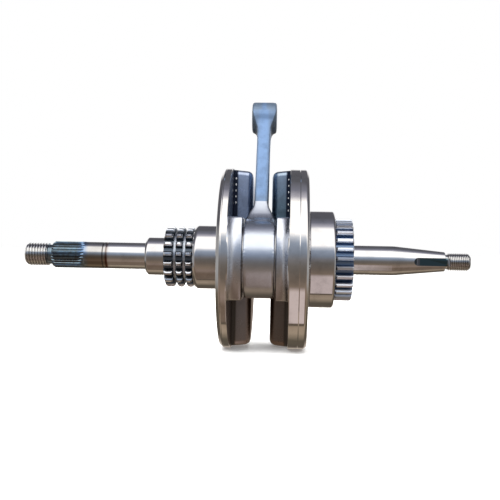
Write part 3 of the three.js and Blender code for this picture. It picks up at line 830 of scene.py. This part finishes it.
ROLLERS = 16
ROLLER_TRACK = 17
roller_steel = ground_steel("roller_steel", (0.66, 0.66, 0.67), 0.12)
half_length, roller_r = 7.3, 1.85
rollers = revolved("big_end_rollers", softened([
    (-half_length, 0), (-half_length, roller_r, 0.45), (half_length, roller_r, 0.45), (half_length, 0)]), 24)
moved(rollers, y=ROLLER_TRACK)
set_round(rollers, roller_steel, ROLLERS)
dress(moved(rollers, y=-THROW), "roller_cage", "bearing_steel",
      *[f"big_end_roller_{i + 1:02d}" for i in range(ROLLERS)])

cage_steel = forged_steel("roller_cage_steel", (0.50, 0.51, 0.53), 0.3, 2.0, 0.2)
cage_section = ring_section(-8.6, 8.6, 16.1, 17.9, 0.25)
roller_cage = revolved("big_end_cage_steel", cage_section, 192, ring=True)
window = slab("window", (-half_length - 0.2, 10, -2.1), (half_length + 0.2, 20, 2.1))
bevelled(window, 0.5, 2)
set_round(window, cage_steel, ROLLERS)
combined(roller_cage, window, "DIFFERENCE")
finish(moved(roller_cage, y=-THROW), cage_steel)
dress(roller_cage, "roller_cage", "pressed_steel", "big_end_cage")

washer_steel = ground_steel("washer_steel", (0.48, 0.47, 0.46), 0.2, 0.6)
for side_name, side in (("left", -1), ("right", 1)):
    start, end = sorted((side * 9.95, side * 10.85))
    section = ring_section(start, end, 15.4, 22.5, 0.2)
    washer = revolved("thrust_washer_" + side_name + "_steel", section, 120, ring=True)
    finish(moved(washer, y=-THROW), washer_steel)
    dress(washer, "crankshaft", "pressed_steel", "thrust_washer_" + side_name)

# ---------------------------------------------------------------------------
# The connecting rod is a forged I-section, shot-blasted to a pale blue-grey, with the forging's soft corners.
# Its big end is ground bright all round and its eyes are bored. The small eye takes a 16 mm piston pin.
ROD_LENGTH = 112
ROD_LEAN = math.radians(25.3)
BIG_EYE = {"r": 26.3, "bore": 19.15, "half_width": 9.8}
SMALL_EYE = {"r": 11.2, "bore": 8.0, "half_width": 8.8}
FORGING_SKIN = 0.3


def shank_section(half_width, half_depth, pocket_half, pocket_depth):
    """One cut through the shank, X across the flanges, as an I with soft corners."""
    web = half_width - pocket_depth
    half = [(half_width, half_depth, 1.2), (half_width, pocket_half + 0.5, 0.7),
            (web, pocket_half - 0.8, 0.9)]
    side = [*((x, -y, r) for x, y, r in half), *reversed(half)]
    other = [(-x, -y, r) for x, y, r in side]
    return softened([*side, *other])


FLAT = 0.01
SHANK = [  # height, half width, half depth, pocket half width, pocket depth
    (10, 10.1, 24.0, 7, FLAT), (15, 10.1, 21.6, 7, FLAT), (19, 10.0, 17.6, 7, FLAT),
    (23, 9.5, 14.6, 7, FLAT), (27, 8.4, 12.7, 7, FLAT), (30.5, 6.9, 11.7, 7, FLAT),
    (33.5, 5.5, 11.1, 7, FLAT), (37, 4.8, 10.6, 7, FLAT),
    (40, 4.7, 10.3, 7, 0.3), (43, 4.7, 10.15, 6.9, 1.9), (46, 4.7, 10.0, 6.9, 2.3), (88, 4.7, 8.4, 5.7, 2.3),
    (91, 4.7, 8.3, 5.6, 1.9), (94, 4.7, 8.2, 5.6, 0.3), (98, 4.8, 8.15, 5.6, FLAT),
    (101.5, 5.6, 8.3, 5.6, FLAT), (105, 6.8, 9.0, 5.6, FLAT), (109, 7.8, 10.2, 5.6, FLAT),
    (113, 8.0, 10.6, 5.6, FLAT),
]
rod = lofted("connecting_rod_steel", [(z, shank_section(*size)) for z, *size in SHANK])
reordered(rod, (1, 2, 0))


def eye(height, half_width, corners):
    """A solid about an eye's axis, alike at both sides. Corners are (distance in from the side, radius)."""
    near = [(-half_width, 0), *((inset - half_width, radius) for inset, radius in corners)]
    return moved(revolved("eye", [*near, *((-x, radius) for x, radius in reversed(near))], 160), z=height)


combined(rod, eye(0, BIG_EYE["half_width"] + FORGING_SKIN, [(0, BIG_EYE["r"] + 0.1)]), "UNION")
small_corners = [(0, SMALL_EYE["r"] - 0.9), (0.9, SMALL_EYE["r"])]
combined(rod, eye(ROD_LENGTH, SMALL_EYE["half_width"], small_corners), "UNION")
remesh = rod.modifiers.new("remesh", "REMESH")
remesh.mode = "VOXEL"
remesh.voxel_size = 0.66 * MM
soften = rod.modifiers.new("soften", "SMOOTH")
soften.factor = 0.5
soften.iterations = 24
baked(rod)
cheeks = slab("cheeks", (-BIG_EYE["half_width"], -40, -40), (BIG_EYE["half_width"], 40, 140))
combined(rod, cheeks, "INTERSECT")
for height, size in ((0, BIG_EYE), (ROD_LENGTH, SMALL_EYE)):
    bore = eye(height, size["half_width"] + 2, [(0, size["bore"] + 2.4), (2.4, size["bore"])])
    combined(rod, bore, "DIFFERENCE")
rod.data.transform(Matrix.Rotation(-ROD_LEAN, 4, "X"))
moved(rod, y=-THROW)


def rod_steel():
    """Blasted forging, bluish, and ground bright round the big end. Painted shade darkens the shank's edges,
    a band just above the big end, the corners beside the flare under the small eye and the small eye's sides;
    the big end's lower part is browner, a painted reflection of the bench.
    """
    steel = forged_steel("rod_steel", (0.15, 0.235, 0.39), 0.40, 1.0, 0.25)
    from_pin = ((steel.y + THROW) * (steel.y + THROW) + steel.z * steel.z).math("SQRT")
    ground = from_pin.rise(39.6, 38.9)
    steel.link(ground * 0.35 + 0.65, "Metallic")
    off_middle = steel.x.math("ABSOLUTE")
    # Painted shade: darker towards the shank's edges and in a band just above the ground big end.
    shade = from_pin.rise(47, 40) * 0.45 + off_middle.rise(2.0, 4.7) * 0.55
    skin = shade.clamped().mix(colour_of(steel), (0.13, 0.17, 0.23))
    eye_foot = ROD_LENGTH - SMALL_EYE["r"] + 0.2
    along = (steel.y + THROW) * math.sin(ROD_LEAN) + steel.z * math.cos(ROD_LEAN)
    # Painted shade: near black beside the flare under the small eye, and darker on the small eye's sides.
    beside_flare = (off_middle - (along - eye_foot) * 0.33).rise(4.6, 5.4)
    above = along.rise(ROD_LENGTH - 1.5, ROD_LENGTH + 1.0)
    skin = (along.rise(eye_foot - 4, eye_foot) * beside_flare * 0.8).mix(skin, (0.04, 0.05, 0.06))
    skin = (above * off_middle.rise(0.6, 2.6) * 0.7).mix(skin, (0.13, 0.17, 0.22))
    cloud = steel.noise(steel.place, 0.2, 3.0)
    bright = cloud.mix((0.64, 0.67, 0.72), (0.54, 0.57, 0.63))
    # Painted reflection of the bench: the big end browner towards the bottom.
    bright = (steel.z.rise(0.0, -22.0) * 0.5).mix(bright, (0.42, 0.36, 0.33))
    steel.link(ground.mix(skin, bright), "Base Color")
    rings = steel.noise(steel.at(steel.x * 3.0, from_pin * 3.0, steel.y * 0.03), 1.0, 4.0, 0.7)
    rough = Value(steel.tree, steel.shader.inputs["Roughness"].links[0].from_socket)
    polished = 0.24 + rings * 0.012 + from_pin.rise(27.0, 31.0) * 0.12
    steel.link(rough * (1 - ground) + ground * polished, "Roughness")
    return steel


finish(rod, rod_steel())
dress(rod, "rod", "rod_steel", "connecting_rod")

# ---------------------------------------------------------------------------
# A hard collar for the oil seal, a three-row timing sprocket and a bearing's inner ring are pressed on the
# left shaft, one against the next. The collar and the ring are turned and ground.
collar_steel = ground_steel("collar_steel", (0.63, 0.61, 0.60), 0.06)
collar_end = SPROCKET_START - 0.1
collar = revolved("oil_seal_collar_steel", softened([
    (COLLAR_START, 10.65), (COLLAR_START, 11.7, 0.2), (COLLAR_START + 1.6, 13.3, 0.5),
    (collar_end - 0.1, 13.3, 0.1), (collar_end, 13.2), (collar_end, 10.65), (collar_end - 0.3, 10.4),
    (COLLAR_START + 0.3, 10.4)]), 144, ring=True)
finish(collar, collar_steel)
dress(collar, "crankshaft", "bearing_steel", "oil_seal_collar")
ring_steel = ground_steel("left_ring_steel", (0.62, 0.60, 0.59), 0.05)
ring_end = -LEFT_WEB["outer"] - 0.1
left_ring = revolved("left_inner_ring_steel", softened([
    (RING_START, 17.9), (RING_START, 20.5, 0.3), (RING_START + 2.4, 22.4, 0.8), (ring_end - 0.3, 22.4, 0.15),
    (ring_end, 22.1), (ring_end, 17.9), (ring_end - 0.3, 17.6), (RING_START + 0.3, 17.6)]), 192, ring=True)
finish(left_ring, ring_steel)
dress(left_ring, "crankshaft", "bearing_steel", "left_bearing_inner_ring")


def tooth_outline(tip, root, tip_share, root_share, steps=9):
    """One tooth over one pitch, as (share of the pitch, radius), with bulging flanks and rounded corners."""
    rise = []
    for i in range(steps + 1):
        t = i / steps
        share = (root_share * (1 - t) + tip_share * t) / 2 + 0.035 * math.sin(math.pi * t)
        radius = root + (tip - root) * (t * t * (3 - 2 * t) * 0.35 + t * 0.65)
        rise.append((-share, radius))
    top = [(-tip_share * 0.3, tip + 0.02), (0, tip + 0.04), (tip_share * 0.3, tip + 0.02)]
    fall = [(-share, radius) for share, radius in reversed(rise)]
    return [(-0.5, root - 0.05), (-0.47, root - 0.04), *rise, *top, *fall, (0.47, root - 0.04),
            (0.5, root - 0.05)]


def toothed(name, steel, teeth, first_angle, outline, stations, bore):
    """A toothed ring: one tooth's sector, cut back at each (x, limit) station, repeated round the axis."""
    pitch = 2 * math.pi / teeth
    bm = bmesh.new()
    rows = [[(x, min(r, limit)) for _, r in outline] for x, limit in stations]
    rows.append([(stations[-1][0], bore)] * len(outline))
    rows.insert(0, [(stations[0][0], bore)] * len(outline))
    grid = []
    for row in rows:
        grid.append([])
        for (share, _), (x, r) in zip(outline, row):
            a = first_angle + share * pitch
            grid[-1].append(bm.verts.new((x * MM, -r * math.cos(a) * MM, r * math.sin(a) * MM)))
    for one, other in [*zip(grid, grid[1:]), (grid[-1], grid[0])]:
        for i in range(len(outline) - 1):
            bm.faces.new((one[i], one[i + 1], other[i + 1], other[i]))
    made = from_bmesh(name, bm)
    return set_round(made, steel, teeth, merge=True)


def toothed_steel(name, dark_to, tip, gap_shade_colour, land_colour, land_roughness=0.16):
    """Cut and hardened steel, painted dark below a height as shade in the tooth gaps, and bright up to the
    tips.
    """
    steel = Steel(name, land_colour, 0.2)
    height = steel.radius.rise(dark_to + 0.1 * (tip - dark_to), dark_to + 0.8 * (tip - dark_to))
    cloud = steel.noise(steel.place, 0.4, 4.0)
    grain = steel.noise(steel.at(steel.x * 3.0, steel.y * 0.6, steel.z * 0.6), 1.0, 4.0, 0.7)
    level = (height + (cloud - 0.5) * 0.3).rise(0.0, 1.0)
    steel.link(level.mix(gap_shade_colour, land_colour), "Base Color")
    steel.link(0.36 - level * (0.36 - land_roughness) + (grain - 0.5) * 0.1, "Roughness")
    steel.bump(grain, 0.3, 0.03)
    return steel


SPROCKET = {"teeth": 18, "tip": 21.4, "root": 17.3, "hub": 16.9, "bore": 12.1}
SPROCKET_ROWS = ((0, 6.7), (8.4, 13.3), (15, 20))
TOOTH_BEVEL = ((0, 18.9), (0.3, 20.1), (0.8, 20.9), (1.6, 21.45))
# The sprocket's tooth gaps are painted near black as shade.
sprocket_steel = toothed_steel("sprocket_steel", 19.2, SPROCKET["tip"], (0.11, 0.13, 0.155),
                               (0.72, 0.73, 0.76))
groove_floor = sprocket_steel.radius.rise(17.2, 17.0)
sprocket_steel.link(groove_floor.mix(colour_of(sprocket_steel), (0.50, 0.53, 0.58)), "Base Color")
stations = []
for start, end in SPROCKET_ROWS:
    near = [(start, SPROCKET["hub"]), *((start + x, limit) for x, limit in TOOTH_BEVEL)]
    stations += [*near, *((start + end - x, limit) for x, limit in reversed(near))]
stations = [(SPROCKET_START + x, limit) for x, limit in stations[1:-1]]
sprocket_tooth = tooth_outline(SPROCKET["tip"], SPROCKET["root"], 0.2, 0.66)
sprocket = toothed("timing_sprocket_steel", sprocket_steel, SPROCKET["teeth"], math.radians(6),
                   sprocket_tooth, stations, SPROCKET["bore"])
dress(sprocket, "crankshaft", "sprocket_steel", "timing_sprocket")

# ---------------------------------------------------------------------------
# The main ball bearing: two ground rings with a track between, eight balls, and a cage of two pressed strips
# held by eight rivets. Its inner ring is pressed on the right shaft and its outer ring sits in the crankcase.
BEARING_START, BEARING_END, BEARING_MIDDLE = 32.5, 50.5, 41.5
TRACK_R, TRACK_GROOVE = 24, 6.25
BALLS = 8


def track(land, outward):
    """The groove the balls run in, from one edge of a land to the other."""
    half = math.acos(abs(land - TRACK_R) / TRACK_GROOVE)
    steps = 16
    angles = [half * (1 - 2 * i / steps) for i in range(steps + 1)]
    return [(BEARING_MIDDLE + TRACK_GROOVE * math.sin(a), TRACK_R + outward * TRACK_GROOVE * math.cos(a))
            for a in angles]


outer_steel = ground_steel("outer_ring_steel", (0.62, 0.60, 0.59), 0.05)
OUTER_LAND, INNER_LAND = 29.1, 19.4
outer_ring = revolved("outer_ring_steel", softened([
    (BEARING_START, OUTER_LAND), (BEARING_START, 32.9, 0.3), (BEARING_START + 1.1, 34, 0.5),
    (BEARING_END - 1.1, 34, 0.5), (BEARING_END, 32.9, 0.3), (BEARING_END, OUTER_LAND),
    *track(OUTER_LAND, 1)]), 216, ring=True)
finish(outer_ring, outer_steel)
dress(outer_ring, "bearing_outer_ring", "bearing_steel", "main_bearing_outer_ring")
inner_steel = ground_steel("inner_ring_steel", (0.62, 0.61, 0.60), 0.12)
inner_ring = revolved("inner_ring_steel", softened([
    (BEARING_START, 14.4), (BEARING_START, 18.9, 0.2), (BEARING_START + 0.5, INNER_LAND),
    *reversed(track(INNER_LAND, -1)), (BEARING_END - 0.5, INNER_LAND), (BEARING_END, 18.9, 0.2),
    (BEARING_END, 14.4), (BEARING_END - 0.3, 14.1), (BEARING_START + 0.3, 14.1)]), 144, ring=True)
finish(inner_ring, inner_steel)
dress(inner_ring, "crankshaft", "bearing_steel", "main_bearing_inner_ring")


def set_of_balls():
    tree = Tree("balls", Radius=5.95 * MM, Track=TRACK_R * MM, Middle=BEARING_MIDDLE * MM, Count=BALLS)
    sphere = tree.add("GeometryNodeMeshIcoSphere", Radius=tree.inputs["Radius"], Subdivisions=4)
    place = tree.add("ShaderNodeCombineXYZ", X=tree.inputs["Middle"], Y=tree.inputs["Track"])
    one = tree.add("GeometryNodeTransform", Geometry=sphere, Translation=place)
    tree.end(tree.around(one, tree.inputs["Count"], 0.0), roller_steel)
    return tree.run(new_object("main_bearing_balls", bpy.data.meshes.new("balls")))


ball_nodes = [f"main_bearing_ball_{i + 1}" for i in range(BALLS)]
dress(set_of_balls(), "ball_cage", "bearing_steel", *ball_nodes)

CAGE = {"inner": 21.7, "outer": 26.3, "gap": 0.05, "plate": 0.8, "pocket": 6.1}


def cage_strip(side_name, side):
    """One pressed half: flat at the rivets and bulged round each ball. One ball's share, then repeated."""
    around_steps, out_steps = 44, 8
    pitch = 2 * math.pi / BALLS
    bm = bmesh.new()
    layers = []
    for lift in (0, CAGE["plate"]):
        layer = []
        for i in range(around_steps + 1):
            a = pitch * (i / around_steps - 0.5)
            row = []
            for j in range(out_steps + 1):
                r = CAGE["inner"] + (CAGE["outer"] - CAGE["inner"]) * j / out_steps
                y, z = r * math.cos(a), r * math.sin(a)
                off = (y - TRACK_R) ** 2 + z ** 2
                bulge = math.sqrt(max(0.0, (CAGE["pocket"] + lift) ** 2 - off))
                x = BEARING_MIDDLE + side * max(bulge, CAGE["gap"] + lift)
                row.append(bm.verts.new((x * MM, y * MM, z * MM)))
            layer.append(row)
        layers.append(layer)
    under, over = layers
    for i in range(around_steps):
        for j in range(out_steps):
            for layer in layers:
                bm.faces.new((layer[i][j], layer[i + 1][j], layer[i + 1][j + 1], layer[i][j + 1]))
        for j in (0, out_steps):
            bm.faces.new((under[i][j], over[i][j], over[i + 1][j], under[i + 1][j]))
    strip = from_bmesh("main_bearing_cage_" + side_name + "_strip", bm)
    set_round(strip, strip_steel, BALLS, merge=True)
    dress(strip, "ball_cage", "pressed_steel", "main_bearing_cage_" + side_name)


strip_steel = forged_steel("strip_steel", (0.55, 0.55, 0.56), 0.28, 2.0, 0.2)
for side_name, side in (("left", -1), ("right", 1)):
    cage_strip(side_name, side)
rivet_side = [(0.95, 0.9), (0.95, 1.45), (1.2, 1.5), (1.4, 1.2), (1.5, 0.6), (1.55, 0)]
rivets = revolved("cage_rivets", [*[(-x, r) for x, r in reversed(rivet_side)], *rivet_side], 20)
moved(rivets, BEARING_MIDDLE, TRACK_R)
set_round(rivets, strip_steel, BALLS, math.pi / BALLS)
dress(rivets, "ball_cage", "pressed_steel", *[f"main_bearing_cage_rivet_{i + 1}" for i in range(BALLS)])

# ---------------------------------------------------------------------------
# The gear that drives the balance shaft has 27 teeth of module 2, hobbed and hardened, and a hub that spaces
# it off the bearing. A parallel key stops it turning on the shaft.
GEAR = {"start": 51.1, "teeth": 27, "tip": 28.75, "root": 24.5, "hub": 18, "bore": 12.1}
# The gear's tooth gaps are painted mid-blue as shade.
gear_steel = toothed_steel("gear_steel", 25.8, GEAR["tip"], (0.22, 0.30, 0.43), (0.78, 0.81, 0.87), 0.34)
gear_bevel = ((0, 27.6), (0.35, 28.3), (0.9, 29))
stations = [(GEAR_SEAT["start"], GEAR["hub"]), (GEAR["start"], GEAR["hub"])]
stations += [(GEAR["start"] + x, limit) for x, limit in gear_bevel]
stations += [(GEAR_SEAT["end"] - x, limit) for x, limit in reversed(gear_bevel)]
gear_tooth = tooth_outline(GEAR["tip"], GEAR["root"], 0.25, 0.66)
gear = toothed("balancer_drive_gear_steel", gear_steel, GEAR["teeth"], math.radians(2), gear_tooth, stations,
               GEAR["bore"])
combined(gear, slab("keyslot", (45, 5, -2.1), (70, 13.5, 2.1)), "DIFFERENCE")
finish(gear, gear_steel)
dress(gear, "crankshaft", "gear_steel", "balancer_drive_gear")
key = slab("gear_key", (52, 10.4, -2), (61, 13.4, 2))
bevelled(key, 0.25, 2)
finish(key, plug_steel)
dress(key, "crankshaft", "pressed_steel", "balancer_gear_key")

# ---------------------------------------------------------------------------
# In the step between each web and its counterweight runs a short row of punched marks, where the
# halves were balanced. Each is a small dome, a dimple's raised lip, coloured near white as a painted glint in
# the step's painted shade.
glint_dot_steel = ground_steel("glint_dot_steel", (0.9, 0.91, 0.93), 0.45, 0.3)
glint_dot_steel.shader.inputs["Metallic"].default_value = 0.3


def row_of_dots(name, x, y, low, high, count, size):
    """A row of domes up a line, facing the front."""
    tree = Tree(name, Count=count, Low=low * MM, High=high * MM, Size=size * MM)
    span = tree.math("SUBTRACT", tree.inputs["High"], tree.inputs["Low"])
    step = tree.math("DIVIDE", span, float(count - 1))
    index = tree.add("GeometryNodeInputIndex")
    height = tree.math("ADD", tree.math("MULTIPLY", index, step), tree.inputs["Low"])
    place = tree.add("ShaderNodeCombineXYZ", X=x * MM, Y=y * MM, Z=height)
    points = tree.add("GeometryNodePoints", Count=tree.inputs["Count"], Position=place)
    dome = tree.add("GeometryNodeMeshUVSphere", Segments=12, Rings=8, Radius=tree.inputs["Size"])
    tall = tree.add("GeometryNodeTransform", Geometry=dome, Scale=(0.75, 0.5, 1.2))
    tree.end(tree.add("GeometryNodeInstanceOnPoints", Points=points, Instance=tall), glint_dot_steel)
    dots = tree.run(new_object(name, bpy.data.meshes.new(name)))
    smooth(dots)
    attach(dots, "crankshaft")


row_of_dots("left_balance_marks", -19.0, 2.2, 39.2, 56.3, 5, 0.68)
row_of_dots("right_balance_marks", 18.3, 2.2, 34.0, 56.0, 6, 0.52)
